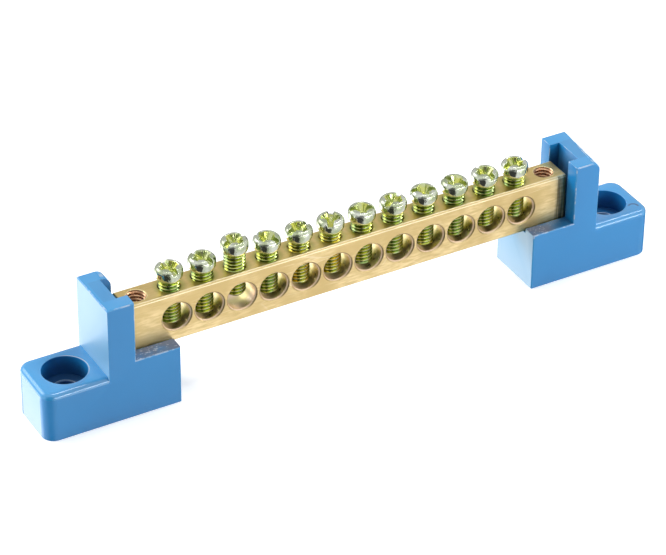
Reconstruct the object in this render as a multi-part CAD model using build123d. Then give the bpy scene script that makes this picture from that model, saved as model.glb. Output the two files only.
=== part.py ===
from build123d import *
import os

# Neutral terminal bar: a brass bar with twelve cross bores for wires, a clamping screw
# over each bore, and a moulded foot under each end that holds the bar off the mounting
# surface. Millimetres. X runs along the bar, -Y faces the wire entries, +Z is up, and
# Z = 0 is the surface that the feet stand on. X = 0 and Y = 0 are the bar's middle.

# Bar
terminal_count = 12
terminal_pitch = 6.5
bar_end_margin = 3.45        # axis of an end hole to the bar's end
bar_width = 5.8
bar_height = 10.0
bar_edge_chamfer = 0.35
wire_bore_diameter = 5.5
wire_bore_height = 5.0       # axis of the wire bores above the bar's underside
wire_bore_chamfer = 0.35

# Screw thread, modelled at its outer diameter
thread_diameter = 4.0
thread_clearance = 0.05      # radial, screw to tapped hole
thread_mouth_chamfer = 0.15

# Terminal screws
head_diameter = 5.1
head_height = 2.6            # underside of the head to the edge of its domed top
head_dome = 0.25
head_bowl_height = 1.3       # the head widens over this height from the shank to its full width
head_upper_edge = 0.4
screw_length = 8.5           # underside of the head to the tip
tip_chamfer = 0.3
tip_gap = 0.8                # tip to the floor of the wire bore, as delivered
backed_out_screw = 3         # counted from the left
backed_out_by = 1.55
slot_width = 1.0
slot_depth = 0.95
cross_span = 3.9             # across the cross recess, at the top of the head
cross_width = 0.95
cross_depth = 1.45
cross_floor_span = 1.2
head_turns = (92, 107, 22, 118, 18, 60, 160, 32, 161, 122, 97, 11)

# Moulded feet
foot_depth = 12.3
seat_height = 11.0           # the bar's underside above the mounting surface
seat_lip = 0.9               # the seat's ledges stand this far above the bar's underside
seat_reach = 8.95            # the seat reaches this far in under the bar from its end
bar_side_clearance = 0.3
bar_end_gap = 1.9            # bar end to the web that closes the channel
flange_overlap = 0.2         # the channel's flanges reach this far past the bar's end
web_thickness = 3.15
pillar_rise = 3.1            # pillar top above the top of the bar
ear_height = 9.8
ear_hole_offset = 5.75       # pillar to the axis of the mounting hole
ear_end_margin = 6.6         # axis of the mounting hole to the end of the ear
ear_corner_radius = 2.4
ear_edge_radius = 1.1
pillar_round = 1.9           # the large rounding at one top corner of each pillar
pillar_round_end = 0.3       # what is left of the right pillar's rounding at the back
mould_edge_radius = 0.25
mounting_hole_diameter = 4.4
mounting_head_diameter = 8.4
mounting_head_depth = 3.85

# Screws that hold the bar down on its feet, driven from below
fixing_floor = 4.0           # plastic between the screw's head and the bar
fixing_length = 9.6          # underside of the head to the tip
fixing_head_diameter = 7.0
fixing_head_height = 2.6
fixing_head_edge = 0.85
fixing_head_clearance = 0.5  # radial, head to its counterbore
fixing_shank_clearance = 0.2
fixing_cross_span = 3.6
fixing_cross_depth = 1.5

same_place = 0.0001          # two coordinates this close are one place

# Derived places
wire_bore_radius = wire_bore_diameter / 2
thread_hole_diameter = thread_diameter + 2 * thread_clearance
first_terminal_x = -(terminal_count - 1) * terminal_pitch / 2
end_hole_x = -first_terminal_x + terminal_pitch
bar_half_length = end_hole_x + bar_end_margin
bar_top = seat_height + bar_height
wire_bore_z = seat_height + wire_bore_height
wire_bore_floor = wire_bore_z - wire_bore_radius
channel_width = bar_width + 2 * bar_side_clearance
seat_inner_x = bar_half_length - seat_reach
flange_x = bar_half_length - flange_overlap
web_x = bar_half_length + bar_end_gap
pillar_outer_x = web_x + web_thickness
ear_hole_x = pillar_outer_x + ear_hole_offset
ear_end_x = ear_hole_x + ear_end_margin
pillar_top = bar_top + pillar_rise
fixing_seat_z = seat_height - fixing_floor


def write(part, node):
    """Write one piece to its own STEP file."""
    part.label = node
    export_step(part, f"parts/{node}.step")


def drill(x, z_low, z_high, diameter):
    """An upright cylinder to cut with, at a place along the bar."""
    depth = z_high - z_low
    return Pos(x, 0, (z_low + z_high) / 2) * Cylinder(diameter / 2, depth)


def terminal_x(number):
    """Place of a terminal along the bar, counted from 1 at the left."""
    return first_terminal_x + (number - 1) * terminal_pitch


def tapped_mouth(x, z, facing):
    """The countersink of a tapped hole: a cone that opens towards facing (+1 up, -1 down)."""
    small = thread_hole_diameter / 2
    large = small + thread_mouth_chamfer
    bottom, top = (small, large) if facing > 0 else (large, small)
    return Pos(x, 0, z - facing * thread_mouth_chamfer / 2) * Cone(bottom, top, thread_mouth_chamfer)


def wire_bore(x):
    """A through bore for a wire, along Y, with a countersunk mouth at both faces."""
    profile = Polyline(
        (0, -bar_width / 2),
        (wire_bore_radius + wire_bore_chamfer, -bar_width / 2),
        (wire_bore_radius, -bar_width / 2 + wire_bore_chamfer),
        (wire_bore_radius, bar_width / 2 - wire_bore_chamfer),
        (wire_bore_radius + wire_bore_chamfer, bar_width / 2),
        (0, bar_width / 2),
        close=True,
    )
    return Pos(x, 0, wire_bore_z) * revolve(make_face(profile), Axis.Y)


def busbar():
    """The brass bar with its wire bores, clamping screw holes and end holes."""
    length = 2 * bar_half_length
    body = Pos(0, 0, seat_height + bar_height / 2) * Box(length, bar_width, bar_height)
    body = chamfer(body.edges(), bar_edge_chamfer)
    for number in range(1, terminal_count + 1):
        x = terminal_x(number)
        body -= wire_bore(x)
        body -= drill(x, wire_bore_z, bar_top, thread_hole_diameter)
        body -= tapped_mouth(x, bar_top, 1)
    for x in (-end_hole_x, end_hole_x):
        body -= drill(x, seat_height, bar_top, thread_hole_diameter)
        body -= tapped_mouth(x, seat_height, -1)
    return body


def cross_recess(span, width, floor_span, depth):
    """Two crossed tapering blades, point down, with their wide top at Z = 0."""
    half = span / 2
    floor_half = floor_span / 2
    outline = Polyline((-half, 0), (half, 0), (floor_half, -depth), (-floor_half, -depth), close=True)
    blade = extrude(Plane.XZ * make_face(outline), width / 2, both=True)
    return blade + Rot(0, 0, 90) * blade


def screw_body(length):
    """A screw turned about Z, its head's underside at Z = 0 and its shank pointing down."""
    thread_radius = thread_diameter / 2
    head_radius = head_diameter / 2
    dome_radius = (head_radius**2 + head_dome**2) / (2 * head_dome)
    overhang = head_radius - thread_radius
    bowl_radius = (head_bowl_height**2 + overhang**2) / (2 * overhang)
    lines = Polyline(
        (0, -length),
        (thread_radius - tip_chamfer, -length),
        (thread_radius, -length + tip_chamfer),
        (thread_radius, 0),
    )
    lower = RadiusArc(lines @ 1, (head_radius, head_bowl_height), -bowl_radius)
    side = Line(lower @ 1, (head_radius, head_height))
    dome = RadiusArc(side @ 1, (0, head_height + head_dome), -dome_radius)
    axis_line = Line(dome @ 1, (0, -length))
    profile = make_face([lines, lower, side, dome, axis_line])
    rim = profile.vertices().sort_by_distance(side @ 1)[0]
    profile = fillet(rim, head_upper_edge)
    return revolve(Plane.XZ * profile, Axis.Z)


def terminal_screw(number):
    """A clamping screw with a combined slot and cross recess, turned as it was left."""
    top = head_height + head_dome
    screw = screw_body(screw_length)
    slot = Box(2 * head_diameter, slot_width, slot_depth + head_dome, align=(Align.CENTER, Align.CENTER, Align.MAX))
    screw -= Pos(0, 0, top) * slot
    screw -= Pos(0, 0, top) * cross_recess(cross_span, cross_width, cross_floor_span, cross_depth + head_dome)
    raised = backed_out_by if number == backed_out_screw else 0
    underside = wire_bore_floor + tip_gap + screw_length + raised
    turn = head_turns[(number - 1) % len(head_turns)]
    return Pos(terminal_x(number), 0, underside) * Rot(0, 0, turn) * screw


def fixing_screw(x):
    """A pan head machine screw that comes up through a foot into the bar's end hole."""
    thread_radius = thread_diameter / 2
    head = Pos(0, 0, -fixing_head_height / 2) * Cylinder(fixing_head_diameter / 2, fixing_head_height)
    head = fillet(head.edges().group_by(Axis.Z)[0], fixing_head_edge)
    shank = Pos(0, 0, fixing_length / 2) * Cylinder(thread_radius, fixing_length)
    shank = chamfer(shank.edges().group_by(Axis.Z)[-1], tip_chamfer)
    recess = cross_recess(fixing_cross_span, cross_width, cross_floor_span, fixing_cross_depth)
    screw = head + shank - Pos(0, 0, -fixing_head_height) * Rot(180, 0, 0) * recess
    return Pos(x, 0, fixing_seat_z) * screw


def foot_profile():
    """Side outline of the right foot: seat, pillar and ear."""
    ledge = seat_height + seat_lip
    return Polyline(
        (seat_inner_x, 0),
        (ear_end_x, 0),
        (ear_end_x, ear_height),
        (pillar_outer_x, ear_height),
        (pillar_outer_x, pillar_top),
        (flange_x, pillar_top),
        (flange_x, ledge),
        (seat_inner_x, ledge),
        close=True,
    )


def near(edge, **place):
    """Whether the middle of an edge has the given coordinates."""
    middle = edge.center()
    return all(abs(getattr(middle, letter) - value) < same_place for letter, value in place.items())


def foot_body():
    """The solid form of the right foot with its ear rounded, before it is opened."""
    body = extrude(Plane.XZ * make_face(foot_profile()), foot_depth / 2, both=True)
    upright = body.edges().filter_by(Axis.Z)
    body = fillet(upright.filter_by(lambda edge: near(edge, X=ear_end_x)), ear_corner_radius)
    rim = body.edges().filter_by(lambda edge: near(edge, Z=ear_height))
    rim = rim.filter_by(lambda edge: edge.center().X > pillar_outer_x + same_place)
    return fillet(rim, ear_edge_radius)


def soften(body):
    """Break the moulding's sharp outer edges on the seat and the pillar."""
    ledge = seat_height + seat_lip

    def is_sharp(edge):
        middle = edge.center()
        on_side = abs(abs(middle.Y) - foot_depth / 2) < same_place
        seat_end = on_side and near(edge, X=seat_inner_x)
        ledge_side = on_side and near(edge, Z=ledge)
        pillar_rim = on_side and near(edge, Z=pillar_top)
        flange_side = on_side and near(edge, X=flange_x)
        outer_rim = near(edge, X=pillar_outer_x, Z=pillar_top)
        return seat_end or ledge_side or pillar_rim or flange_side or outer_rim

    return fillet(body.edges().filter_by(is_sharp), mould_edge_radius)


def round_back_flange(body):
    """Round the inner top corner of the pillar's back flange, as on the left foot."""
    corner = body.edges().filter_by(lambda edge: near(edge, X=flange_x, Z=pillar_top) and edge.center().Y > 0)
    return fillet(corner, pillar_round)


def fading_round():
    """What the right pillar lacks at its outer top corner: a rounding that fades to the back."""
    def section(y, radius):
        arc = CenterArc((pillar_outer_x - radius, pillar_top - radius), radius, 0, 90)
        beyond = pillar_round
        outside = Polyline(
            arc @ 1,
            (pillar_outer_x - radius, pillar_top + beyond),
            (pillar_outer_x + beyond, pillar_top + beyond),
            (pillar_outer_x + beyond, pillar_top - radius),
            arc @ 0,
        )
        return Plane((0, y, 0), x_dir=(1, 0, 0), z_dir=(0, -1, 0)) * make_face([arc, outside])

    half = foot_depth / 2
    return loft([section(-half, pillar_round), section(half, pillar_round_end)], ruled=True)


def bar_channel():
    """The slot that takes the bar, open above and inwards and closed outwards by the web."""
    height = pillar_top - seat_height
    reach = web_x - seat_inner_x
    slot = Box(reach, channel_width, height, align=(Align.MAX, Align.CENTER, Align.MIN))
    return Pos(web_x, 0, seat_height) * slot


def mounting_hole():
    """The counterbored hole through the ear."""
    hole = drill(ear_hole_x, 0, ear_height, mounting_hole_diameter)
    return hole + drill(ear_hole_x, ear_height - mounting_head_depth, ear_height, mounting_head_diameter)


def fixing_hole():
    """The counterbored hole from below for the screw that holds the bar."""
    shank = drill(end_hole_x, 0, seat_height, thread_diameter + 2 * fixing_shank_clearance)
    return shank + drill(end_hole_x, 0, fixing_seat_z, fixing_head_diameter + 2 * fixing_head_clearance)


def insulator(side):
    """One moulded foot. side is -1 for the left one and +1 for the right one."""
    body = foot_body() - bar_channel()
    body = body - fading_round() if side > 0 else round_back_flange(body)
    body = soften(body)
    body -= mounting_hole()
    body -= fixing_hole()
    return body if side > 0 else mirror(body, Plane.YZ)


def main():
    """Build every piece and write it out."""
    os.makedirs("parts", exist_ok=True)
    write(busbar(), "busbar")
    write(insulator(-1), "insulator_left")
    write(insulator(1), "insulator_right")
    for number in range(1, terminal_count + 1):
        write(terminal_screw(number), f"terminal_screw_{number:02d}")
    write(fixing_screw(-end_hole_x), "fixing_screw_left")
    write(fixing_screw(end_hole_x), "fixing_screw_right")


if __name__ == "__main__":
    main()
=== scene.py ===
"""Dresses the neutral terminal bar: threaded clamping screws, drawn brass and moulded blue feet.

Sizes are in millimetres and become metres in the meshes. X runs along the bar, -Y faces the
wire entries, +Z is up, and Z = 0 is the surface that the feet stand on.
"""
import logging
import math
from dataclasses import dataclass, field
from enum import Enum
from functools import cached_property

import bmesh
import bpy
from mathutils import Matrix, Vector


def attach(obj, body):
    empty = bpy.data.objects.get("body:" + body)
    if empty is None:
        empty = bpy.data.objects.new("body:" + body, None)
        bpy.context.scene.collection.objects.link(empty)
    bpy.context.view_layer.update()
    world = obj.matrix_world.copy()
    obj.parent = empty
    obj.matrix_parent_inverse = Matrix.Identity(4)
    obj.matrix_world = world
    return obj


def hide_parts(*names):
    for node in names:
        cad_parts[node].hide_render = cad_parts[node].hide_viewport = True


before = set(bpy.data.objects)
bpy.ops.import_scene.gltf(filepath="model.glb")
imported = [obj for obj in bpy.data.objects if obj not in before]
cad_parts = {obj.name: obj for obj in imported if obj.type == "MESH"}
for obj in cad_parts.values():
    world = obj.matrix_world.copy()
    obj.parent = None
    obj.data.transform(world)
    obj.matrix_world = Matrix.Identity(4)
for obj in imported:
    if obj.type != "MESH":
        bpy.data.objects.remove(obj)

MM = 0.001
WELD = 0.002
LOG = logging.getLogger("terminal_bar")
Pair = tuple[float, float]
Triple = tuple[float, float, float]
Colour = Triple


class Value:
    """What a node puts out, which sums and masks can use as they do a number."""

    def __init__(self, graph: "Graph", socket: bpy.types.NodeSocket) -> None:
        """Keep the graph and the node's output socket."""
        self.graph = graph
        self.socket = socket

    def math(self, operation: str, *others: "Value | float") -> "Value":
        """The result of a Math node for this value and others."""
        return self.graph.result("Math", dict(enumerate((self, *others))), operation=operation)

    def __add__(self, other: "Value | float") -> "Value":
        """The sum with another value."""
        return self.math("ADD", other)

    def __sub__(self, other: "Value | float") -> "Value":
        """This value less another one."""
        return self.math("SUBTRACT", other)

    def __rsub__(self, other: float) -> "Value":
        """A number less this value."""
        return self.graph.result("Math", {0: other, 1: self}, operation="SUBTRACT")

    def __mul__(self, other: "Value | float") -> "Value":
        """The product with another value."""
        return self.math("MULTIPLY", other)

    def __abs__(self) -> "Value":
        """This value without its sign."""
        return self.math("ABSOLUTE")

    def above(self, limit: float) -> "Value":
        """1 where this value is over a limit, or else 0."""
        return self.math("GREATER_THAN", limit)

    def below(self, limit: float) -> "Value":
        """1 where this value is under a limit, or else 0."""
        return self.math("LESS_THAN", limit)

    def larger(self, other: "Value") -> "Value":
        """The larger of this value and another one."""
        return self.math("MAXIMUM", other)

    def hypot(self, other: "Value") -> "Value":
        """The distance from where this value and another one are both 0."""
        return (self * self + other * other).math("SQRT")

    def ramp(self, low: float, high: float, start: float = 0.0, end: float = 1.0) -> "Value":
        """Map a range of this value smoothly onto another range.

        Args:
            low: Where the range starts.
            high: Where the range ends.
            start: The result at low.
            end: The result at high.

        Returns:
            The mapped value.
        """
        inputs = {"Value": self, "From Min": low, "From Max": high, "To Min": start, "To Max": end}
        return self.graph.result("MapRange", inputs, interpolation_type="SMOOTHSTEP")


class Graph:
    """Adds nodes to one node tree and links them."""

    def __init__(self, tree: bpy.types.NodeTree) -> None:
        """Keep the tree of a material, a world or a node group."""
        self.tree = tree

    def feed(self, socket: bpy.types.NodeSocket, value: object) -> None:
        """Give an input its value.

        Args:
            socket: The input socket.
            value: A Value, which is linked, or a constant. A colour has three parts.
        """
        if isinstance(value, Value):
            self.tree.links.new(value.socket, socket)
        else:
            socket.default_value = (*value, 1.0) if socket.type == "RGBA" else value

    def add(self, kind: str, inputs: dict | None = None, **settings: object) -> bpy.types.Node:
        """Add one node.

        Args:
            kind: The node's type, without the word that all of them start with.
            inputs: What feeds its inputs, by name or number.
            settings: Values for its properties.

        Returns:
            The new node.
        """
        node = self.tree.nodes.new(f"ShaderNode{kind}")
        for name, value in settings.items():
            setattr(node, name, value)
        for key, value in (inputs or {}).items():
            self.feed(node.inputs[key], value)
        return node

    def result(
        self, kind: str, inputs: dict | None = None, output: int | str = 0, **settings: object
    ) -> Value:
        """Add one node and return one of its outputs."""
        return Value(self, self.add(kind, inputs, **settings).outputs[output])

    def parts(self, vector: Value) -> list[Value]:
        """The X, Y and Z of a vector."""
        return [Value(self, part) for part in self.add("SeparateXYZ", {0: vector}).outputs]

    def mix(self, factor: Value, first: Value | Colour, second: Value | Colour) -> Value:
        """Mix two colours, of which the second one shows by the factor."""
        return self.result("Mix", {0: factor, 6: first, 7: second}, 2, data_type="RGBA")

    def noise(self, vector: Value, scale: Value | float | Triple, detail: float = 2.0) -> Value:
        """Add soft noise.

        Args:
            vector: The vector that it follows.
            scale: How fine it is, as one number or as one for each axis.
            detail: How much finer noise lies on it.

        Returns:
            The noise, 0 to 1.
        """
        if isinstance(scale, tuple):
            vector, scale = self.result("Mapping", {"Vector": vector, "Scale": scale}), 1.0
        return self.result("TexNoise", {"Vector": vector, "Scale": scale, "Detail": detail})


class Surface(Graph):
    """The graph of a new material, with the place of each point."""

    def __init__(self, name: str) -> None:
        """Start a material with a Principled shader.

        Args:
            name: The material's name.
        """
        self.material = bpy.data.materials.new(name)
        self.material.use_nodes = True
        super().__init__(self.material.node_tree)

    @cached_property
    def place(self) -> Value:
        """A point's place in the piece, in metres."""
        return self.result("TexCoord", output="Object")

    @cached_property
    def axes(self) -> list[Value]:
        """A point's X, Y and Z in the piece, in millimetres."""
        scaled = self.result("Mapping", {"Vector": self.place, "Scale": (1 / MM, 1 / MM, 1 / MM)})
        return self.parts(scaled)

    def layered(self, colour: Value, *layers: tuple[Value, Value | Colour]) -> Value:
        """Lay tones over a colour, each through its mask.

        Args:
            colour: The colour below.
            layers: The mask and tone of each layer, the lowest one first.

        Returns:
            The colour on top.
        """
        for mask, tone in layers:
            colour = self.mix(mask, colour, tone)
        return colour

    def bump(self, height: Value, strength: float, distance: float) -> Value:
        """The normal of a surface with a height, of which 1 stands for a distance."""
        inputs = {"Height": height, "Strength": strength, "Distance": distance * MM}
        return self.result("Bump", inputs)

    def finished(self, inputs: dict[str, object]) -> bpy.types.Material:
        """Feed the shader.

        Args:
            inputs: What feeds the shader's inputs, by name.

        Returns:
            The material.
        """
        shader = self.tree.nodes["Principled BSDF"]
        for name, value in inputs.items():
            self.feed(shader.inputs[name], value)
        return self.material


class Effect:
    """A surface effect that several materials share, as a node group."""

    INPUTS: dict[str, str] = {}
    OUTPUTS: dict[str, str] = {}

    @classmethod
    def tree(cls) -> bpy.types.NodeTree:
        """Look the node group up, or build it the first time.

        Returns:
            The node group.
        """
        found = bpy.data.node_groups.get(cls.__name__)
        if found:
            return found
        tree = bpy.data.node_groups.new(cls.__name__, "ShaderNodeTree")
        for way, sockets in (("INPUT", cls.INPUTS), ("OUTPUT", cls.OUTPUTS)):
            for name, kind in sockets.items():
                tree.interface.new_socket(name=name, in_out=way, socket_type=f"NodeSocket{kind}")
        graph = Graph(tree)
        entry = tree.nodes.new("NodeGroupInput").outputs
        leave = tree.nodes.new("NodeGroupOutput").inputs
        made = cls.wire(graph, {name: Value(graph, entry[name]) for name in cls.INPUTS})
        for name, value in made.items():
            graph.feed(leave[name], value)
        return tree

    @classmethod
    def wire(cls, graph: Graph, entry: dict[str, Value]) -> dict[str, Value]:
        """Build the inside of the group.

        Args:
            graph: The group's graph.
            entry: The group's inputs, by name.

        Returns:
            The group's outputs, by name.
        """
        raise NotImplementedError

    @classmethod
    def place(cls, at: Surface, **inputs: object) -> dict[str, Value]:
        """Put the effect into a material.

        Args:
            at: The material's surface, whose place the effect follows.
            inputs: What feeds the group's other inputs, by name.

        Returns:
            The group's outputs, by name.
        """
        node = at.add("Group", {"Vector": at.place, **inputs}, node_tree=cls.tree())
        return {name: Value(at, node.outputs[name]) for name in cls.OUTPUTS}


class BrushedGrain(Effect):
    """Fine straight lines along X, as drawing or brushing leaves them."""

    INPUTS = {"Vector": "Vector", "Fineness": "Float"}
    OUTPUTS = {"Streaks": "Float", "Height": "Float"}
    FINE: Triple = (450.0, 2300.0, 2300.0)
    BROAD: Triple = (50.0, 1300.0, 1300.0)
    FINE_SHARE = 0.85

    @classmethod
    def wire(cls, graph: Graph, entry: dict[str, Value]) -> dict[str, Value]:
        """Build two layers of noise, both stretched along X.

        Args:
            graph: The group's graph.
            entry: The group's inputs, by name.

        Returns:
            The group's outputs, by name.
        """
        inputs = {0: entry["Vector"], "Scale": entry["Fineness"]}
        vector = graph.result("VectorMath", inputs, operation="SCALE")
        fine = graph.noise(vector, cls.FINE, 3.0)
        height = fine * cls.FINE_SHARE + graph.noise(vector, cls.BROAD) * (1.0 - cls.FINE_SHARE)
        return {"Streaks": height.ramp(0.35, 0.65), "Height": height}


class ToneDrift(Effect):
    """A slow drift between two tones over the surface."""

    INPUTS = {"Vector": "Vector", "Scale": "Float", "First": "Color", "Second": "Color"}
    OUTPUTS = {"Color": "Color", "Mask": "Float"}

    @classmethod
    def wire(cls, graph: Graph, entry: dict[str, Value]) -> dict[str, Value]:
        """Mix the two tones by soft noise."""
        mask = graph.noise(entry["Vector"], entry["Scale"]).ramp(0.35, 0.65)
        return {"Color": graph.mix(mask, entry["First"], entry["Second"]), "Mask": mask}


class Scuffs(Effect):
    """Thin scratches that lie in patches."""

    INPUTS = {"Vector": "Vector", "Scale": "Float", "Amount": "Float"}
    OUTPUTS = {"Mask": "Float"}
    SLANT: Triple = (0.4, 0.2, 0.5)
    STRETCH: Triple = (0.35, 1.6, 1.3)
    LINE_WIDTH = 0.03

    @classmethod
    def wire(cls, graph: Graph, entry: dict[str, Value]) -> dict[str, Value]:
        """Stretch the borders of cells into lines and keep them where a soft noise is high.

        Args:
            graph: The group's graph.
            entry: The group's inputs, by name.

        Returns:
            The group's outputs, by name.
        """
        vector, scale = entry["Vector"], entry["Scale"]
        inputs = {"Vector": vector, "Rotation": cls.SLANT, "Scale": cls.STRETCH}
        inputs = {"Vector": graph.result("Mapping", inputs), "Scale": scale}
        border = graph.result("TexVoronoi", inputs, feature="DISTANCE_TO_EDGE")
        kept = graph.noise(vector, scale * 0.6).ramp(0.5, 0.68)
        lines = border.ramp(0.0, cls.LINE_WIDTH, 1.0, 0.0)
        return {"Mask": lines * kept * entry["Amount"]}


def row_distance(along: Value, other: Value, pitch: float) -> Value:
    """Distance from the nearest of a row of axes, which lie half a pitch off X = 0."""
    return (along.math("WRAP", pitch, 0.0) - 0.5 * pitch).hypot(other)


@dataclass(frozen=True)
class DrawnBrass:
    """Drawn brass bar with machined wire bores and end holes, with painted shade beside its right
    seat.
    """

    light: Colour = (0.87, 0.69, 0.37)
    deep: Colour = (0.63, 0.47, 0.21)
    scuffed: Colour = (0.97, 0.85, 0.60)
    edge_highlight: Colour = (1.0, 0.90, 0.62)
    top_lit_tone: Colour = (1.0, 0.75, 0.28)
    head_shade_and_reflection: Colour = (0.48, 0.48, 0.12)
    mouth_tone: Colour = (1.0, 0.75, 0.52)
    bore_tone: Colour = (1.0, 0.80, 0.60)
    bore_shade_tone: Colour = (0.74, 0.64, 0.30)
    tapped_tone: Colour = (0.62, 0.36, 0.20)
    seat_shade: Colour = (0.07, 0.05, 0.025)
    roughness: float = 0.31
    pitch: float = 6.5
    count: int = 12
    head_shade_reach: Pair = (1.9, 3.5)
    bore_height: float = 16.0
    bore_reach: float = 2.90
    half_width: float = 2.9
    top: float = 21.0
    top_layer: float = 0.05
    edge_chamfer: float = 0.35
    edge_line: Pair = (0.05, 0.14)
    edge_layer: float = 0.08
    mouth_reach: Pair = (0.35, 0.55)
    mouth_fade: Pair = (0.30, 0.75)
    bore_shade_fade: Pair = (0.7, 2.7)
    end_hole_x: float = 42.25
    end_hole_reach: Pair = (1.98, 2.08)
    seat_shade_reach: Pair = (43.1, 44.0)
    seat_shade_streaks: Triple = (2600.0, 400.0, 60.0)
    seat_shade_sway: float = 1.1
    seat_shade_front: Pair = (-2.75, -2.5)
    seat_reach: Pair = (44.8, 45.5)

    def build(self) -> bpy.types.Material:
        """Make the material.

        Returns:
            The brass material.
        """
        at = Surface("DrawnBrass")
        grain = BrushedGrain.place(at, Fineness=1.0)
        drift = ToneDrift.place(at, Scale=120.0, First=self.light, Second=self.deep)
        scuffs = Scuffs.place(at, Scale=260.0, Amount=0.4)
        bore = self.bore_mask(at)
        colour = at.layered(
            drift["Color"],
            (grain["Streaks"] * 0.8, self.deep),
            # painted light: the bar's top is tinted warmer than its sides, for the light that
            # falls on it
            (self.on_top(at) * 0.5, self.top_lit_tone),
            (scuffs["Mask"], self.scuffed),
            # painted shade and reflection of the screw heads on the bar's top
            (self.head_shade_and_reflection_mask(at), self.head_shade_and_reflection),
            # painted highlight: bright lines where each upper chamfer starts and ends
            (self.edge_highlight_mask(at), self.edge_highlight),
            # painted shade beside the right seat, where the seat wall blocks the light
            (self.seat_shade_mask(at), self.seat_shade),
            # painted highlight at the bore mouths and painted shade deeper in
            (bore, self.bore_colour(at)),
            (self.end_hole_mask(at), self.tapped_tone),
        )
        mouth = bore * self.depth(at).ramp(*self.mouth_reach, 0.8, 0.0)
        return at.finished({
            "Base Color": colour,
            "Roughness": grain["Streaks"] * 0.10 + bore * -0.04 + self.roughness,
            "Metallic": 1.0 - mouth,
            "Anisotropic": 0.6,
            "Anisotropic Rotation": 0.25,
            "Tangent": (1.0, 0.0, 0.0),
            "Normal": at.bump(grain["Height"] * (1.0 - bore), 0.6, 0.02),
        })

    def depth(self, at: Surface) -> Value:
        """How far a point lies in from the bar's long sides."""
        return self.half_width - abs(at.axes[1])

    def on_top(self, at: Surface) -> Value:
        """A mask that is 1 on the bar's top."""
        return at.axes[2].above(self.top - self.top_layer)

    def in_row(self, at: Surface) -> Value:
        """A mask that is 1 between the ends of the row of screws."""
        return abs(at.axes[0]).below(0.5 * self.count * self.pitch)

    def head_shade_and_reflection_mask(self, at: Surface) -> Value:
        """A mask of painted shade and green reflection from the screw heads, round them on the
        bar's top.
        """
        near = row_distance(at.axes[0], at.axes[1], self.pitch).ramp(*self.head_shade_reach, 0.75, 0.0)
        return near * self.in_row(at) * self.on_top(at)

    def edge_highlight_mask(self, at: Surface) -> Value:
        """Find the two painted highlight lines along each upper edge, where its chamfer starts and
        ends.

        Args:
            at: The material's surface.

        Returns:
            A mask of the lines.
        """
        side, down = self.depth(at), self.top - at.axes[2]
        upper, lower = (
            abs(far - self.edge_chamfer).ramp(*self.edge_line, 1.0, 0.0)
            * near.below(self.edge_layer)
            for near, far in ((side, down), (down, side))
        )
        return upper.larger(lower) * 0.85

    def bore_mask(self, at: Surface) -> Value:
        """A mask of the wire bores and their mouths."""
        up = at.axes[2] - self.bore_height
        return row_distance(at.axes[0], up, self.pitch).below(self.bore_reach) * self.in_row(at)

    def bore_colour(self, at: Surface) -> Value:
        """The tone of a bore: a pale mouth as a painted highlight, with painted shade that grows
        with depth.

        Args:
            at: The material's surface.

        Returns:
            The colour.
        """
        depth = self.depth(at)
        colour = at.mix(depth.ramp(*self.mouth_fade), self.mouth_tone, self.bore_tone)
        return at.mix(depth.ramp(*self.bore_shade_fade), colour, self.bore_shade_tone)

    def seat_shade_mask(self, at: Surface) -> Value:
        """Find the painted shade on the end beside the right seat, in upright streaks.

        Args:
            at: The material's surface.

        Returns:
            A mask that is highest where the brass is darkest.
        """
        x, y, _ = at.axes
        uneven = at.noise(at.place, self.seat_shade_streaks)
        swayed = (uneven - 0.5) * self.seat_shade_sway + x
        near = swayed.ramp(*self.seat_shade_reach, 0.0, 0.72)
        near = near * uneven.ramp(0.42, 0.58, 0.35, 1.0)
        last = x.ramp(*self.seat_reach, 0.0, 0.92)
        return near.larger(last) * y.ramp(*self.seat_shade_front, 1.0, 0.15)

    def end_hole_mask(self, at: Surface) -> Value:
        """A mask of the two tapped end holes."""
        radius = (abs(at.axes[0]) - self.end_hole_x).hypot(at.axes[1])
        return radius.ramp(*self.end_hole_reach, 1.0, 0.0)


@dataclass(frozen=True)
class TappedBrass:
    """The cut thread in the bar's end holes."""

    crest: Colour = (0.80, 0.50, 0.30)
    root: Colour = (0.45, 0.24, 0.13)
    face: Colour = (1.0, 0.82, 0.42)
    face_height: Pair = (20.90, 20.95)

    def build(self) -> bpy.types.Material:
        """Make the material.

        Returns:
            The tapped brass material.
        """
        at = Surface("TappedBrass")
        drift = ToneDrift.place(at, Scale=700.0, First=self.crest, Second=self.root)
        level = at.axes[2].ramp(*self.face_height)
        return at.finished({
            "Base Color": at.mix(level, drift["Color"], self.face),
            "Roughness": drift["Mask"].ramp(0.0, 1.0, 0.22, 0.36),
            "Metallic": 1.0,
        })


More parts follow.
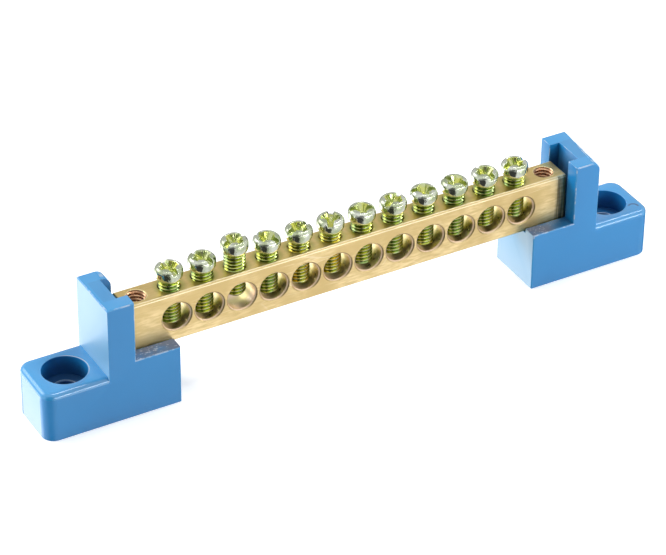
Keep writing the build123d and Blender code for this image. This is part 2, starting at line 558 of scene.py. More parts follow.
@dataclass(frozen=True)
class MouldedBlue:
    """Blue moulded plastic with a soft gloss, rubbed on its seat ledges, with painted shade in its
    recesses and painted highlights on their rims.
    """

    name: str = "MouldedBlue"
    body: Colour = (0.006, 0.215, 0.535)
    bright: Colour = (0.010, 0.235, 0.565)
    rubbed: Colour = (0.11, 0.15, 0.25)
    fleck_and_highlight: Colour = (0.50, 0.58, 0.68)
    shadow: Colour = (0.002, 0.045, 0.13)
    nick_amount: float = 0.0
    hollow_shade_amount: float = 1.0
    roughness: float = 0.30
    coat: float = 0.0
    sheen: float = 0.0
    tint: Colour = (1.0, 1.0, 1.0)
    nick_height: Pair = (11.1, 11.4)
    worn_end: Pair = (40.0, 42.5)
    ledge_z: float = 11.9
    ledge_x: float = 45.4
    recess_x: float = 56.5
    recess_radius: float = 4.3
    recess_floor: float = 7.2
    recess_rim: float = 9.65
    rim_width: float = 0.09
    lit_side: Pair = (0.96, 0.28)
    lit_reach: Pair = (1.4, 3.9)
    hole_radius: float = 2.26
    hole_rim: float = 5.95
    pin_place: Pair = (60.6, -3.9)
    pin_radius: float = 0.95
    channel_x: Pair = (45.3, 50.0)
    channel_side: float = 3.3
    channel_floor: float = 11.0
    channel_fade: Pair = (20.0, 24.0)
    speck_stretch: Triple = (1500.0, 3400.0, 3400.0)

    def build(self) -> bpy.types.Material:
        """Make the material.

        Returns:
            The plastic material.
        """
        at = Surface(self.name)
        drift = ToneDrift.place(at, Scale=60.0, First=self.body, Second=self.bright)
        ledge = self.ledge_mask(at)
        hollow_shade = self.hollow_shade_mask(at) * self.hollow_shade_amount
        patches = at.noise(at.place, 330.0, 3.0).ramp(0.32, 0.58, 0.45, 0.95)
        specks = at.noise(at.place, self.speck_stretch).ramp(0.58, 0.70)
        nicks = at.noise(at.place, 750.0, 4.0)
        nicks = nicks.ramp(0.46, 0.60, 0.12 * self.nick_amount, self.nick_amount)
        nicks = nicks * at.axes[2].ramp(*self.nick_height)
        colour = at.layered(
            drift["Color"],
            # painted shade in the mounting recess and the bar's channel
            (hollow_shade, self.shadow),
            (patches * ledge, self.rubbed),
            (specks * ledge * 0.8, self.fleck_and_highlight),
            (nicks, self.fleck_and_highlight),
            # painted highlight on the rims of the recess and its hole
            (self.rim_highlight_mask(at), self.fleck_and_highlight),
            (self.pin_mask(at), self.shadow),
        )
        rough = drift["Mask"] * 0.06 + ledge.larger(nicks) * 0.15 + hollow_shade * 0.4
        return at.finished({
            "Base Color": colour,
            "Roughness": rough + self.roughness,
            "Normal": at.bump(at.noise(at.place, 1500.0), 0.16, 0.02),
            "IOR": 1.5,
            "Specular IOR Level": 0.85,
            "Coat Weight": self.coat,
            "Coat Roughness": self.roughness,
            "Coat IOR": 1.8,
            "Sheen Weight": self.sheen,
            "Sheen Roughness": 0.4,
            "Sheen Tint": self.tint,
            "Specular Tint": self.tint,
            "Coat Tint": self.tint,
        })

    def from_recess(self, at: Surface) -> Value:
        """The distance from the axis of the nearer mounting recess."""
        return (abs(at.axes[0]) - self.recess_x).hypot(at.axes[1])

    def rim_highlight_mask(self, at: Surface) -> Value:
        """Find the painted highlights on the rims of the recess and its hole, the upper one bright
        on the left foot's right.

        Args:
            at: The material's surface.

        Returns:
            A mask of the painted rim highlights.
        """
        x, y, z = at.axes
        radius = self.from_recess(at)
        ring = abs(radius - self.recess_radius).below(self.rim_width) * z.above(self.recess_rim)
        across, back = self.lit_side
        lit = x.math("SIGN") * (-across * self.recess_x) + x * across + y * back
        ring = ring * lit.ramp(*self.lit_reach, 0.04, 1.0) * x.ramp(-1.0, 1.0, 1.0, 0.12)
        lower = abs(radius - self.hole_radius).below(0.16) * abs(z - self.hole_rim).below(0.25)
        return ring.larger(lower * 0.9)

    def pin_mask(self, at: Surface) -> Value:
        """Find the shaded far edge of the mark that an ejector pin left on the right ear.

        Args:
            at: The material's surface.

        Returns:
            A mask of the edge.
        """
        along, aside = at.axes[0] - self.pin_place[0], at.axes[1] - self.pin_place[1]
        edge = abs(along.hypot(aside) - self.pin_radius).ramp(0.12, 0.26, 0.8, 0.0)
        far = (along * 0.5 + aside * 0.87).ramp(0.0, 0.5)
        return edge * far * at.axes[2].above(self.recess_rim)

    def ledge_mask(self, at: Surface) -> Value:
        """Find the ledges beside the bar.

        Args:
            at: The material's surface.

        Returns:
            A mask that is highest on the left ledge.
        """
        x, _, z = at.axes
        level = abs(z - self.ledge_z).ramp(0.03, 0.12, 1.0, 0.0)
        return level * abs(x).below(self.ledge_x) * x.ramp(*self.worn_end, 1.0, 0.2)

    def hollow_shade_mask(self, at: Surface) -> Value:
        """Find the deep places that get painted shade and stay dull: the mounting recess and the
        bar's channel.

        Args:
            at: The material's surface.

        Returns:
            A mask that grows with depth.
        """
        x, y, z = at.axes
        recess = self.from_recess(at).below(self.recess_radius) * z.below(self.recess_rim)
        recess = recess * z.ramp(self.recess_floor, self.recess_rim, 0.7, 0.35)
        channel = abs(x).above(self.channel_x[0]) * abs(x).below(self.channel_x[1])
        channel = channel * abs(y).below(self.channel_side) * z.above(self.channel_floor)
        return recess.larger(channel * z.ramp(*self.channel_fade, 0.75, 0.15))


@dataclass(frozen=True)
class PassivatedZinc:
    """Zinc plating with a yellow-green passivation."""

    name: str
    first: Colour
    second: Colour
    roughness: float
    scuffed: Colour = (0.92, 0.93, 0.86)
    dent_stretch: Triple = (1900.0, 1900.0, 700.0)
    dent_depth: float = 0.11

    def build(self) -> bpy.types.Material:
        """Make the material.

        Returns:
            The plated material.
        """
        at = Surface(self.name)
        drift = ToneDrift.place(at, Scale=420.0, First=self.first, Second=self.second)
        scuffs = Scuffs.place(at, Scale=900.0, Amount=0.5)
        dents = at.noise(at.place, self.dent_stretch)
        return at.finished({
            "Base Color": at.mix(scuffs["Mask"], drift["Color"], self.scuffed),
            "Roughness": drift["Mask"] * 0.06 + self.roughness,
            "Metallic": 1.0,
            "Normal": at.bump(dents, 0.6, self.dent_depth),
        })


@dataclass(frozen=True)
class PlatedThread:
    """A rolled and plated thread: painted shade and a duller gloss in its grooves, a painted
    highlight on its crests.
    """

    name: str
    first: Colour
    second: Colour
    # painted shade in the grooves
    root: Colour = (0.13, 0.16, 0.03)
    # painted highlight on the crests
    crest: Colour = (0.84, 0.88, 0.60)
    roughness: float = 0.15
    pitch: float = 6.5
    root_shade_reach: Pair = (1.60, 1.78)
    crest_highlight_reach: Pair = (1.97, 1.99)

    def build(self) -> bpy.types.Material:
        """Make the material.

        Returns:
            The thread's material.
        """
        at = Surface(self.name)
        radius = row_distance(at.axes[0], at.axes[1], self.pitch)
        drift = ToneDrift.place(at, Scale=420.0, First=self.first, Second=self.second)
        deep = radius.ramp(*self.root_shade_reach, 1.0, 0.0)
        high = radius.ramp(*self.crest_highlight_reach)
        return at.finished({
            "Base Color": at.layered(drift["Color"], (deep, self.root), (high, self.crest)),
            "Roughness": deep * 0.2 + self.roughness,
            "Metallic": 1.0,
        })


class Finish(Enum):
    """The finishes that the pieces wear."""

    DRAWN_BRASS = DrawnBrass()
    TAPPED_BRASS = TappedBrass()
    MOULDED_BLUE = MouldedBlue()
    MOULDED_EDGE = MouldedBlue(
        "MouldedEdge", (0.010, 0.25, 0.58), (0.02, 0.30, 0.64), nick_amount=0.6, hollow_shade_amount=0.4
    )
    # painted light: a lighter copy of the blue, with a white sheen, for wide sides that look left;
    # its gloss is a rougher satin
    MOULDED_SATIN_LIT_SIDE = MouldedBlue(
        "MouldedSatinLitSide", (0.006, 0.245, 0.53), (0.010, 0.265, 0.55),
        roughness=0.42, coat=1.0, sheen=1.0, tint=(0.93, 1.0, 0.98),
    )
    # painted light: a lighter copy of the blue for tops and upward roundings; its gloss is
    # smoother
    MOULDED_POLISH_LIT_TOP = MouldedBlue(
        "MouldedPolishLitTop", (0.017, 0.262, 0.585), (0.024, 0.287, 0.62), roughness=0.13, coat=0.7
    )
    ZINC_HEAD = PassivatedZinc("ZincHead", (0.76, 0.80, 0.69), (0.50, 0.57, 0.36), 0.08)
    ZINC_THREAD = PlatedThread("ZincThread", (0.54, 0.58, 0.09), (0.34, 0.48, 0.17))
    ZINC_RECESS = PassivatedZinc("ZincRecess", (0.66, 0.68, 0.13), (0.60, 0.66, 0.36), 0.14)
    ZINC_WALL = PassivatedZinc("ZincWall", (0.60, 0.66, 0.28), (0.42, 0.49, 0.22), 0.18)
    GOLDEN_THREAD = PlatedThread("GoldenThread", (0.74, 0.60, 0.08), (0.48, 0.52, 0.12))

    @cached_property
    def material(self) -> bpy.types.Material:
        """The finish's material, which is built the first time."""
        return self.value.build()


def as_object(name: str, mesh: bmesh.types.BMesh) -> bpy.types.Object:
    """Make an object from a bmesh, and free the bmesh.

    Args:
        name: The object's name.
        mesh: The bmesh.

    Returns:
        The new object, at the origin and in the bmesh's unit.
    """
    data = bpy.data.meshes.new(name)
    mesh.to_mesh(data)
    mesh.free()
    made = bpy.data.objects.new(name, data)
    bpy.context.scene.collection.objects.link(made)
    return made


def new_piece(name: str, mesh: bmesh.types.BMesh, *finishes: Finish) -> bpy.types.Object:
    """Make a piece from a bmesh in millimetres, and free the bmesh.

    Args:
        name: The piece's name.
        mesh: The bmesh, in millimetres.
        finishes: The finishes of its material slots.

    Returns:
        The new piece, in metres.
    """
    bmesh.ops.scale(mesh, vec=(MM, MM, MM), verts=mesh.verts)
    piece = as_object(name, mesh)
    for finish in finishes:
        piece.data.materials.append(finish.material)
    return piece


def wear(node: bpy.types.Object, finish: Finish) -> None:
    """Give a CAD node a finish.

    Args:
        node: The CAD node's object.
        finish: The finish for all of its slots.
    """
    if not node.material_slots:
        node.data.materials.append(finish.material)
    for place in node.material_slots:
        place.material = finish.material


def cut(piece: bpy.types.Object, cutters: list[bpy.types.Object]) -> None:
    """Take drafts away from a draft.

    Args:
        piece: The draft that is cut.
        cutters: The drafts that are taken away.
    """
    for cutter in cutters:
        step = piece.modifiers.new(cutter.name, "BOOLEAN")
        step.operation = "DIFFERENCE"
        step.solver = "MANIFOLD"
        step.object = cutter


def baked(piece: bpy.types.Object, cutters: list[bpy.types.Object]) -> bmesh.types.BMesh:
    """Apply a draft's modifiers and remove it with its cutters.

    Args:
        piece: The draft.
        cutters: The drafts that its modifiers use.

    Returns:
        The result as a bmesh in millimetres.
    """
    depsgraph = bpy.context.evaluated_depsgraph_get()
    data = bpy.data.meshes.new_from_object(piece.evaluated_get(depsgraph))
    mesh = bmesh.new()
    mesh.from_mesh(data)
    bpy.data.meshes.remove(data)
    for used in (piece, *cutters):
        bpy.data.objects.remove(used)
    bmesh.ops.remove_doubles(mesh, verts=mesh.verts, dist=WELD)
    bmesh.ops.dissolve_degenerate(mesh, edges=mesh.edges, dist=WELD)
    return mesh


def shade(mesh: bmesh.types.BMesh, limit: float = 32.0) -> None:
    """Shade a bmesh smooth, apart from its sharp edges.

    Args:
        mesh: The bmesh.
        limit: The angle, in degrees, past which an edge is sharp.
    """
    for face in mesh.faces:
        face.smooth = True
    for edge in mesh.edges:
        edge.smooth = edge.calc_face_angle(0.0) < math.radians(limit)


def arc(centre: Pair, radius: float, start: float, end: float, steps: int) -> list[Pair]:
    """Points along an arc.

    Args:
        centre: The arc's centre.
        radius: Its radius.
        start: Its first angle, in degrees.
        end: Its last angle, in degrees.
        steps: How many chords it has.

    Returns:
        The points, both ends among them.
    """
    angles = [math.radians(start + (end - start) * step / steps) for step in range(steps + 1)]
    return [
        (centre[0] + radius * math.cos(angle), centre[1] + radius * math.sin(angle))
        for angle in angles
    ]


def turned(points: list[Pair], steps: int, rise: float = 0.0) -> bmesh.types.BMesh:
    """Turn an outline once round the Z axis.

    Args:
        points: The outline's points, as distance from the axis and height.
        steps: How many steps the turn has.
        rise: How far the outline climbs in the turn. Without a rise the turn closes.

    Returns:
        The swept surface.
    """
    mesh = bmesh.new()
    verts = [mesh.verts.new((radius, 0.0, height)) for radius, height in points]
    line = [mesh.edges.new(pair) for pair in zip(verts, verts[1:])]
    bmesh.ops.spin(
        mesh, geom=line + verts, cent=(0, 0, 0), axis=(0, 0, 1), dvec=(0, 0, rise / steps),
        angle=math.tau, steps=steps, use_merge=not rise,
    )
    return mesh


def cone(low: float, high: float, bottom: float, top: float, sides: int = 96) -> bmesh.types.BMesh:
    """Make a closed cone or cylinder on the Z axis.

    Args:
        low: Its radius at the bottom.
        high: Its radius at the top.
        bottom: Height of its bottom.
        top: Height of its top.
        sides: How many sides it has.

    Returns:
        The cone.
    """
    mesh = bmesh.new()
    bmesh.ops.create_cone(
        mesh, cap_ends=True, segments=sides, radius1=low, radius2=high, depth=top - bottom
    )
    bmesh.ops.translate(mesh, vec=(0, 0, (bottom + top) / 2), verts=mesh.verts)
    return mesh


@dataclass
class Thread:
    """A metric thread: one turn's outline, swept round and repeated."""

    pitch: float = 0.7
    outer_radius: float = 2.0
    depth: float = 0.42
    crest_width: float = 0.06
    root_width: float = 0.12
    root_round: float = 0.05
    steps: int = 48
    spare_turns: float = 1.5

    def outline(self) -> list[Pair]:
        """Points of one pitch, from root to root.

        Returns:
            The points, as radius and height.
        """
        root = self.outer_radius - self.depth
        half_root = self.root_width / 2
        low = (self.pitch - self.crest_width) / 2
        return [
            (root, 0.0),
            (root + self.root_round * self.depth, half_root),
            (self.outer_radius, low),
            (self.outer_radius, low + self.crest_width),
            (root + self.root_round * self.depth, self.pitch - half_root),
            (root, self.pitch),
        ]

    def rod(self, bottom: float, top: float, tip_chamfer: float) -> bmesh.types.BMesh:
        """Make a threaded rod with a chamfered lower end.

        Args:
            bottom: Height of its tip.
            top: Height of its upper end.
            tip_chamfer: Size of the chamfer at the tip.

        Returns:
            The rod as a closed bmesh.
        """
        mesh = turned(self.outline(), self.steps, self.pitch)
        turns = math.ceil((top - bottom) / self.pitch) + round(2 * self.spare_turns)
        first = mesh.verts[:] + mesh.edges[:] + mesh.faces[:]
        for number in range(1, turns):
            copy = bmesh.ops.duplicate(mesh, geom=first)["geom"]
            moved = [item for item in copy if isinstance(item, bmesh.types.BMVert)]
            bmesh.ops.translate(mesh, vec=(0, 0, number * self.pitch), verts=moved)
        start = bottom - self.spare_turns * self.pitch
        bmesh.ops.translate(mesh, vec=(0, 0, start), verts=mesh.verts)
        bmesh.ops.remove_doubles(mesh, verts=mesh.verts, dist=2 * WELD)
        for height, side in ((bottom, -1), (top, 1)):
            self.trim(mesh, height, side)
        for vert in mesh.verts:
            radius = math.hypot(vert.co.x, vert.co.y)
            allowed = self.outer_radius - tip_chamfer + (vert.co.z - bottom)
            if radius > allowed:
                vert.co.x *= allowed / radius
                vert.co.y *= allowed / radius
        bmesh.ops.recalc_face_normals(mesh, faces=mesh.faces)
        return mesh

    def trim(self, mesh: bmesh.types.BMesh, height: float, side: int) -> None:
        """Cut the rod level and close it.

        Args:
            mesh: The rod.
            height: Where it ends.
            side: -1 to take away what is below, 1 for what is above.
        """
        ends = bmesh.ops.bisect_plane(
            mesh, geom=mesh.verts[:] + mesh.edges[:] + mesh.faces[:], dist=1e-5,
            plane_co=(0, 0, height), plane_no=(0, 0, side), clear_outer=True,
        )
        edges = [item for item in ends["geom_cut"] if isinstance(item, bmesh.types.BMEdge)]
        bmesh.ops.holes_fill(mesh, edges=edges, sides=0)


@dataclass
class ScrewHead:
    """The pressed head of a clamping screw: domed, with a slot and a cross recess."""

    diameter: float = 5.1
    height: float = 2.5
    dome: float = 0.35
    bowl_height: float = 1.3
    upper_edge: float = 0.7
    shank_radius: float = 2.0
    slot_width: float = 1.3
    slot_floor_width: float = 0.85
    slot_depth: float = 1.05
    cross_span: float = 3.9
    cross_width: float = 1.35
    cross_floor_span: float = 1.2
    cross_floor_width: float = 0.6
    cross_depth: float = 1.55
    pocket_radius: float = 1.35
    pocket_floor_radius: float = 0.55
    clearance: float = 0.5
    cell: float = 0.055
    softening: int = 5
    recess_from: float = 0.12
    recess_height: float = 0.6
    rim_width: float = 0.45
    crown_radius: float = 1.5
    wall_steepness: float = 0.45

    @property
    def top(self) -> float:
        """Height of the dome's middle above the head's underside."""
        return self.height + self.dome

    @property
    def dome_radius(self) -> float:
        """Radius of the dome's arc."""
        return ((self.diameter / 2) ** 2 + self.dome**2) / (2 * self.dome)

    def blank(self) -> bmesh.types.BMesh:
        """Turn the head's outline about its axis.

        Returns:
            The head without its recess, its underside at Z = 0.
        """
        radius = self.diameter / 2
        overhang = radius - self.shank_radius
        bowl_radius = (self.bowl_height**2 + overhang**2) / (2 * overhang)
        bowl_angle = math.degrees(math.asin(self.bowl_height / bowl_radius))
        dome_angle = math.degrees(math.asin(radius / self.dome_radius))
        points = [(0.0, 0.0)]
        points += arc((radius - bowl_radius, self.bowl_height), bowl_radius, -bowl_angle, 0, 8)
        points += arc((0.0, self.top - self.dome_radius), self.dome_radius, 90 - dome_angle, 90, 6)
        mesh = turned(points, 96)
        bmesh.ops.remove_doubles(mesh, verts=mesh.verts, dist=WELD / 2)
        bmesh.ops.recalc_face_normals(mesh, faces=mesh.faces)
        rim = [edge for edge in mesh.edges if all(self.on_rim(vert) for vert in edge.verts)]
        bmesh.ops.bevel(
            mesh, geom=rim, offset=self.upper_edge, affect="EDGES", segments=6, profile=0.5,
            material=-1,
        )
        return mesh

    def on_rim(self, vert: bmesh.types.BMVert) -> bool:
        """Whether a vertex lies on the sharp edge between the head's side and its dome."""
        wide = abs(math.hypot(vert.co.x, vert.co.y) - self.diameter / 2) < WELD / 2
        return wide and abs(vert.co.z - self.height) < WELD / 2

    def cutters(self) -> list[bpy.types.Object]:
        """Make the bodies that cut the recess.

        Returns:
            The cutter of the slot, the two of the cross and the one of the pocket in its middle.
        """
        wide = 2 * self.diameter
        slot = (wide, self.slot_width, wide, self.slot_floor_width, self.slot_depth)
        cross = (
            self.cross_span, self.cross_width, self.cross_floor_span, self.cross_floor_width,
            self.cross_depth,
        )
        made = []
        for name, sizes, angle in (("slot", slot, 0), ("cross", cross, 0), ("cross", cross, 90)):
            blade = self.blade(*sizes)
            turn = Matrix.Rotation(math.radians(angle), 3, "Z")
            bmesh.ops.rotate(blade, matrix=turn, verts=blade.verts)
            made.append(as_object(f"{name}_cutter", blade))
        slope = (self.pocket_radius - self.pocket_floor_radius) / self.cross_depth
        pocket = cone(
            self.pocket_floor_radius, self.pocket_radius + self.clearance * slope,
            self.top - self.cross_depth, self.top + self.clearance, 24,
        )
        return [*made, as_object("pocket_cutter", pocket)]

    def blade(
        self, span: float, width: float, floor_span: float, floor_width: float, depth: float
    ) -> bmesh.types.BMesh:
        """Make a tapering cutter along X that reaches above the head.

        Args:
            span: Its length at the head's top.
            width: Its width at the head's top.
            floor_span: Its length at its floor.
            floor_width: Its width at its floor.
            depth: How deep it cuts.

        Returns:
            The cutter.
        """
        mesh = bmesh.new()
        bmesh.ops.create_cube(mesh, size=1.0)
        beyond = self.clearance / depth
        for vert in mesh.verts:
            above = vert.co.z > 0
            long = span + (span - floor_span) * beyond if above else floor_span
            broad = width + (width - floor_width) * beyond if above else floor_width
            vert.co.x = math.copysign(long / 2, vert.co.x)
            vert.co.y = math.copysign(broad / 2, vert.co.y)
            vert.co.z = self.top + self.clearance if above else self.top - depth
        return mesh

    def slot_of(self, face: bmesh.types.BMFace) -> int:
        """Choose a face's material slot.

        Args:
            face: A face of the head.

        Returns:
            0 outside, 1 on the recess's floor, 2 on its walls.
        """
        middle = face.calc_center_median()
        centre = Vector((0.0, 0.0, self.top - self.dome_radius))
        below = self.dome_radius - (middle - centre).length
        radius = math.hypot(middle.x, middle.y)
        sunk = below > self.recess_from or radius < self.crown_radius
        inside = radius < self.diameter / 2 - self.rim_width and middle.z > self.recess_height
        if not (sunk and inside):
            return 0
        return 2 if abs(face.normal.z) < self.wall_steepness else 1

    def build(self) -> bpy.types.Mesh:
        """Press the head: cut its recess, even out its mesh and soften its edges.

        Returns:
            The head's mesh in millimetres, with three material slots in use.
        """
        head = as_object("head_blank", self.blank())
        cutters = self.cutters()
        cut(head, cutters)
        even = head.modifiers.new("even", "REMESH")
        even.mode = "VOXEL"
        even.voxel_size = self.cell
        soft = head.modifiers.new("soft", "SMOOTH")
        soft.factor = 0.5
        soft.iterations = self.softening
        mesh = baked(head, cutters)
        for face in mesh.faces:
            face.material_index = self.slot_of(face)
            face.smooth = True
        data = bpy.data.meshes.new("pressed_head")
        mesh.to_mesh(data)
        mesh.free()
        return data


@dataclass
class TerminalScrew:
    """A clamping screw: a pressed head on a threaded shank."""

    number: int
    x: float
    underside: float
    turn: float
    head: bpy.types.Mesh
    length: float = 8.5
    head_overlap: float = 0.15
    tip_chamfer: float = 0.3
    golden: tuple[int, ...] = (5, 6)
    thread: Thread = field(default_factory=Thread)

    def build(self, body: str, node: str) -> bpy.types.Object:
        """Build the whole screw in its place.

        Args:
            body: The body that it rides on.
            node: The CAD node that it stands for.

        Returns:
            The screw.
        """
        mesh = self.thread.rod(-self.length, self.head_overlap, self.tip_chamfer)
        shade(mesh)
        for face in mesh.faces:
            face.material_index = 3
        mesh.from_mesh(self.head)
        turn = Matrix.Rotation(math.radians(self.turn), 4, "Z")
        placing = Matrix.Translation((self.x, 0, self.underside)) @ turn
        bmesh.ops.transform(mesh, matrix=placing, verts=mesh.verts)
        golden = self.number in self.golden
        piece = new_piece(
            f"threaded_screw_{self.number:02d}", mesh, Finish.ZINC_HEAD, Finish.ZINC_RECESS,
            Finish.ZINC_WALL, Finish.GOLDEN_THREAD if golden else Finish.ZINC_THREAD,
        )
        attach(piece, body)
        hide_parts(node)
        return piece


@dataclass
class TerminalBar:
    """The brass bar with its clamping screws and end holes."""

    count: int = 12
    pitch: float = 6.5
    screw_underside: float = 22.55
    backed_out_screw: int = 3
    backed_out_by: float = 1.55
    turns: tuple[float, ...] = (92, 107, 22, 118, 18, 60, 160, 32, 161, 122, 97, 11)
    end_hole_x: float = 42.25
    end_hole_radius: float = 2.05
    thread_bottom: float = 16.7
    thread_top: float = 20.995
    tap_radius: float = 2.0
    tap_depth: float = 0.37
    tap_overrun: float = 1.0
    mouth_wall: float = 0.2
    mouth_reach: float = 1.0

    def build(self) -> list[bpy.types.Object]:
        """Dress the bar and build what stands in its holes.

        Returns:
            The new pieces.
        """
        wear(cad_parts["busbar"], Finish.DRAWN_BRASS)
        made = [self.end_thread(side) for side in (-1, 1)]
        head = ScrewHead().build()
        for number in range(1, self.count + 1):
            x = (number - (self.count + 1) / 2) * self.pitch
            raised = self.backed_out_by if number == self.backed_out_screw else 0.0
            underside = self.screw_underside + raised
            screw = TerminalScrew(number, x, underside, self.turns[number - 1], head)
            made.append(screw.build(f"clamp_{number:02d}", f"terminal_screw_{number:02d}"))
        bpy.data.meshes.remove(head)
        return made

    def end_thread(self, side: int) -> bpy.types.Object:
        """Build the tapped wall of an end hole: a threaded sleeve with a countersunk mouth.

        Args:
            side: -1 for the left end, 1 for the right end.

        Returns:
            The sleeve.
        """
        name = "end_thread_left" if side < 0 else "end_thread_right"
        bottom, top, reach = self.thread_bottom, self.thread_top, self.mouth_reach
        sleeve = cone(self.end_hole_radius, self.end_hole_radius, bottom, top)
        tap = Thread(outer_radius=self.tap_radius, depth=self.tap_depth)
        tap = tap.rod(bottom - self.tap_overrun, top + self.tap_overrun, 0.0)
        wide = self.end_hole_radius - self.mouth_wall
        sink = cone(wide - reach, wide + reach, top - reach, top + reach)
        draft = as_object(f"{name}_blank", sleeve)
        cutters = [as_object(f"{name}_tap", tap), as_object(f"{name}_sink", sink)]
        cut(draft, cutters)
        mesh = baked(draft, cutters)
        bmesh.ops.translate(mesh, vec=(side * self.end_hole_x, 0, 0), verts=mesh.verts)
        shade(mesh)
        piece = new_piece(name, mesh, Finish.TAPPED_BRASS)
        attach(piece, "terminal_bar")
        return piece


@dataclass
class MouldedFeet:
    """The two moulded feet and the screws that hold the bar on them."""

    feet: tuple[str, ...] = ("insulator_left", "insulator_right")
    screws: tuple[str, ...] = ("fixing_screw_left", "fixing_screw_right")
    edge_break: float = 0.13
    coplanar_angle: float = 0.6
    sharp_angle: float = 35.0
    shading_angle: float = 24.0
    facing: float = 0.985
    upward: float = 0.05
    worn_reach: float = 51.0
    channel_end: float = 48.0
    seat_end: float = 45.5
    ear: float = 9.7
    ledge: float = 11.0
    smallest_side: float = 10.0

    def build(self) -> list[bpy.types.Object]:
        """Dress the fixing screws and build the feet.

        Returns:
            The two feet.
        """
        for name in self.screws:
            wear(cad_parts[name], Finish.ZINC_HEAD)
        return [self.foot(name) for name in self.feet]

    def foot(self, node: str) -> bpy.types.Object:
        """Copy a foot's form, break its sharp edges and mark where they wear.

        Args:
            node: The CAD node of the foot.

        Returns:
            The foot.
        """
        mesh = bmesh.new()
        mesh.from_mesh(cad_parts[node].data)
        bmesh.ops.scale(mesh, vec=(1 / MM, 1 / MM, 1 / MM), verts=mesh.verts)
        bmesh.ops.remove_doubles(mesh, verts=mesh.verts, dist=WELD)
        bmesh.ops.dissolve_limit(
            mesh, angle_limit=math.radians(self.coplanar_angle), verts=mesh.verts,
            edges=mesh.edges, use_dissolve_boundaries=False,
        )
        for face in mesh.faces:
            face.material_index = self.slot_of(face)
        sharp = [edge for edge in mesh.edges if self.is_sharp(edge)]
        bmesh.ops.bevel(
            mesh, geom=sharp, offset=self.edge_break, affect="EDGES", segments=3, profile=0.5,
            material=1, clamp_overlap=True,
        )
        shade(mesh, self.shading_angle)
        piece = new_piece(
            f"moulded_{node}", mesh, Finish.MOULDED_BLUE, Finish.MOULDED_EDGE,
            Finish.MOULDED_SATIN_LIT_SIDE, Finish.MOULDED_POLISH_LIT_TOP,
        )
        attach(piece, "terminal_bar")
        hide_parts(node)
        return piece

    def slot_of(self, face: bmesh.types.BMFace) -> int:
        """Choose a face's material slot.

        Args:
            face: A face of a foot.

        Returns:
            1 for a worn rounding, 2 for a satin side that looks left and is painted lighter as
            lit, 3 for a polished top or upward rounding that is painted lighter as lit, or else 0.
        """
        middle, normal = face.calc_center_median(), face.normal
        outward = abs(middle.x)
        if max(abs(part) for part in normal) < self.facing:
            if outward < self.worn_reach:
                return 1
            return 3 if normal.z > self.upward else 0
        # painted light: tops of the ears and pillars take the lighter polished copy
        if normal.z > self.facing and middle.z > self.ear and outward > self.seat_end:
            return 3
        # painted light: wide sides that look left take the lighter satin copy
        seat = 0.0 < middle.x < self.channel_end and middle.z < self.ledge
        satin_lit_place = middle.x < -self.channel_end or seat
        wide = face.calc_area() > self.smallest_side
        return 2 if normal.x < -self.facing and satin_lit_place and wide else 0

    def is_sharp(self, edge: bmesh.types.BMEdge) -> bool:
        """Whether an edge is an outer edge that the mould left sharp."""
        closed = len(edge.link_faces) == 2
        return closed and edge.calc_face_angle_signed(0.0) > math.radians(self.sharp_angle)


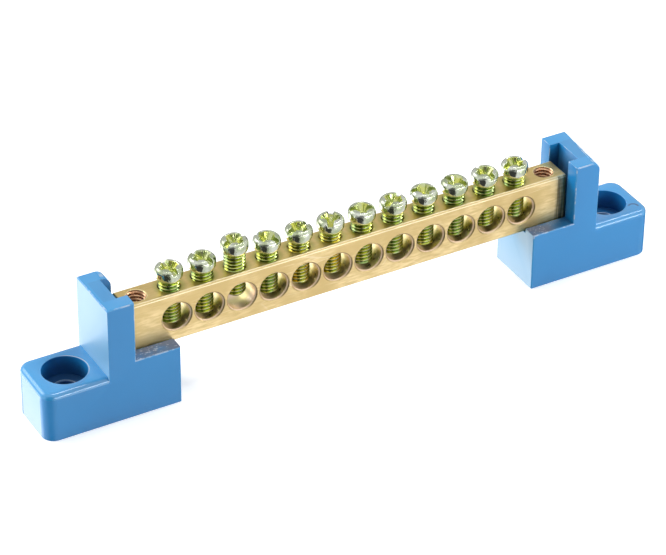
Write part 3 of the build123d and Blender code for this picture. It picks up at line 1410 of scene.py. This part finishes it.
@dataclass
class Reflections:
    """What gloss shows: a pale room with one dark side, soft panels and two lamp tubes."""

    BACK = (0.0, 1.0, 0.0)
    UP = (0.0, 0.0, 1.0)
    ASIDE = (0.95, -0.31, 0.0)
    RIGHT = (0.90, 0.28, -0.34)
    GLINT = (0.33, -0.90, -0.27)
    TABLE = (-0.38, 0.71, -0.59)
    WINDOW = (-0.55, 0.66, 0.50)
    VIEWER = (-0.66, -0.68, 0.33)
    FAR = (0.41, 0.715, -0.567)
    TUBES = (((0.40, -0.88, 0.24), (0.0, -0.26, -0.96)), ((0.42, 0.0, 0.91), (0.0, 1.0, 0.0)))

    graph: Graph
    dark_side: float = 0.05
    bright_side: float = 0.87
    far_side: float = 0.22
    table: float = 2.0
    window: float = 1.6
    glint: float = 0.9
    front: float = 0.95
    roof: float = 0.63
    tube_strength: float = 12.0

    @cached_property
    def way(self) -> Value:
        """The direction that is looked at."""
        return self.graph.result("TexCoord", output="Generated")

    def towards(self, direction: Triple) -> Value:
        """How far the way points along a direction."""
        inputs = {0: self.way, 1: direction}
        return self.graph.result("VectorMath", inputs, "Value", operation="DOT_PRODUCT")

    def stripes(self, scale: Triple, depth: float) -> Value:
        """Uneven upright stripes, half of them under 0."""
        return self.graph.noise(self.way, scale) * depth - 0.5 * depth

    def low(self, far: Value) -> Value:
        """Lay out what lies below the horizon.

        Args:
            far: A mask of the far side.

        Returns:
            Its strength.
        """
        stripes = self.stripes((13.0, 13.0, 1.5), 0.8)
        aside = (self.towards(self.ASIDE) + stripes).ramp(-0.10, 0.08)
        behind = (self.towards(self.BACK) + stripes).ramp(-0.35, 0.0, 0.0, 0.9)
        room = aside.larger(behind).ramp(0.0, 1.0, self.dark_side, self.bright_side)
        right = self.towards(self.RIGHT).ramp(0.80, 0.96, 1.0, 0.55)
        glint = self.towards(self.GLINT).ramp(0.95, 0.985, 0.0, self.glint)
        table = self.towards(self.TABLE).ramp(0.90, 0.98, 0.0, self.table)
        return room * right + glint + far * (self.far_side - self.bright_side) + table

    def high(self, far: Value) -> Value:
        """Lay out what lies above the horizon.

        Args:
            far: A mask of the far side.

        Returns:
            Its strength.
        """
        room = self.towards(self.BACK).ramp(-0.25, 0.60, self.front, self.roof)
        window = self.towards(self.WINDOW).ramp(0.90, 0.97, 0.0, self.window)
        viewer = self.towards(self.VIEWER) + self.stripes((4.0, 4.0, 0.6), 0.5)
        room = room + window + far * (self.far_side - self.roof)
        first, second = (self.tube(*tube) for tube in self.TUBES)
        return room * viewer.ramp(0.78, 0.96, 1.0, 0.15) + first + second

    def tube(self, middle: Triple, across: Triple) -> Value:
        """A lamp tube's narrow bright strip, level and parallel to the bar."""
        near = self.towards(middle).ramp(0.86, 0.92)
        return near * abs(self.towards(across)).ramp(0.02, 0.05, self.tube_strength, 0.0)

    def strength(self) -> Value:
        """Join what lies below and above the horizon.

        Returns:
            The strength of what gloss shows.
        """
        far = self.towards(self.FAR).ramp(0.68, 0.90)
        lifted = self.towards(self.UP).ramp(-0.06, 0.06)
        return self.high(far) * lifted + self.low(far) * (1.0 - lifted)


@dataclass
class Studio:
    """Pale floor, soft lights and the camera at the photograph's angle."""

    camera_place: Triple = (-234.235, -405.059, 332.208)
    yaw: float = -29.76534
    pitch: float = 34.47506
    roll: float = 0.7407
    lens: float = 168.2526
    floor_size: float = 2500.0
    floor_tone: Colour = (0.82, 0.82, 0.82)
    floor_glow: float = 0.45
    room_strength: float = 0.15
    backdrop_strength: float = 0.75
    aim: Triple = (0.0, 0.0, 12.0)
    lamps: tuple[tuple[str, Triple, float, float], ...] = (
        ("window", (-500.0, 600.0, 450.0), 450.0, 6.5),
        ("side", (-900.0, 60.0, 230.0), 450.0, 2.8),
        ("front", (250.0, -310.0, 130.0), 180.0, 1.0),
        ("overhead", (300.0, 0.0, 700.0), 160.0, 2.1),
    )

    def camera(self) -> None:
        """Place the camera."""
        yaw, pitch, roll = (math.radians(angle) for angle in (self.yaw, self.pitch, self.roll))
        level = math.cos(pitch)
        forward = Vector((-math.sin(yaw) * level, math.cos(yaw) * level, -math.sin(pitch)))
        right = Vector((math.cos(yaw), math.sin(yaw), 0.0))
        up = right.cross(forward)
        tilted = right * math.cos(roll) + up * math.sin(roll)
        upright = up * math.cos(roll) - right * math.sin(roll)
        data = bpy.data.cameras.new("camera")
        data.lens = self.lens
        data.sensor_width = 36.0
        data.clip_start = 0.01
        camera = bpy.data.objects.new("camera", data)
        turn = Matrix((tilted, upright, -forward)).transposed().to_4x4()
        camera.matrix_world = Matrix.Translation(Vector(self.camera_place) * MM) @ turn
        bpy.context.scene.collection.objects.link(camera)
        bpy.context.scene.camera = camera

    def floor(self) -> None:
        """Lay the floor: white to the camera, with the object's soft shadow."""
        mesh = bmesh.new()
        bmesh.ops.create_grid(mesh, x_segments=1, y_segments=1, size=self.floor_size * MM)
        floor = as_object("floor", mesh)
        at = Surface("PaleFloor")
        seen = at.result("LightPath", output="Is Camera Ray")
        floor.data.materials.append(at.finished({
            "Base Color": self.floor_tone,
            "Roughness": 0.9,
            "Specular IOR Level": 0.0,
            "Emission Color": (1.0, 1.0, 1.0),
            "Emission Strength": seen * self.floor_glow,
        }))
        floor.visible_glossy = False

    def world(self) -> None:
        """Light the scene evenly, with white behind everything and soft panels in the gloss."""
        world = bpy.data.worlds.new("studio")
        world.use_nodes = True
        bpy.context.scene.world = world
        world.cycles.sampling_method = "NONE"
        graph = Graph(world.node_tree)
        camera, glossy, through = (
            graph.result("LightPath", output=f"Is {kind} Ray")
            for kind in ("Camera", "Glossy", "Transmission")
        )
        reflections = Reflections(graph)
        back = reflections.towards(reflections.BACK)
        room = back.ramp(-0.15, 0.35, self.room_strength, self.backdrop_strength)
        seen = camera.larger(through)
        plain = 1.0 - seen - glossy
        strength = plain * room + seen + glossy * reflections.strength()
        background = world.node_tree.nodes["Background"].inputs
        graph.feed(background["Color"], (1.0, 1.0, 1.0))
        graph.feed(background["Strength"], strength)

    def lamp(self, name: str, place: Triple, size: float, power: float) -> None:
        """Hang one square soft light that faces the object and that gloss does not show.

        Args:
            name: The lamp's name.
            place: Where it hangs.
            size: The length of its side.
            power: Its power, in watts.
        """
        data = bpy.data.lights.new(name, "AREA")
        data.size = size * MM
        data.energy = power
        lamp = bpy.data.objects.new(name, data)
        position = Vector(place) * MM
        turn = (Vector(self.aim) * MM - position).to_track_quat("-Z", "Y")
        lamp.matrix_world = Matrix.Translation(position) @ turn.to_matrix().to_4x4()
        lamp.visible_glossy = False
        bpy.context.scene.collection.objects.link(lamp)

    def build(self) -> None:
        """Set up the whole studio."""
        self.world()
        self.floor()
        self.camera()
        for lamp in self.lamps:
            self.lamp(*lamp)
        bpy.context.scene.view_settings.view_transform = "Standard"


def main() -> None:
    """Dress the bar in order and report each piece."""
    logging.basicConfig(level=logging.INFO, format="%(message)s")
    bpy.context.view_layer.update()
    Studio().build()
    for piece in MouldedFeet().build() + TerminalBar().build():
        LOG.info("%s: %d faces", piece.name, len(piece.data.polygons))


if __name__ == "__main__":
    main()
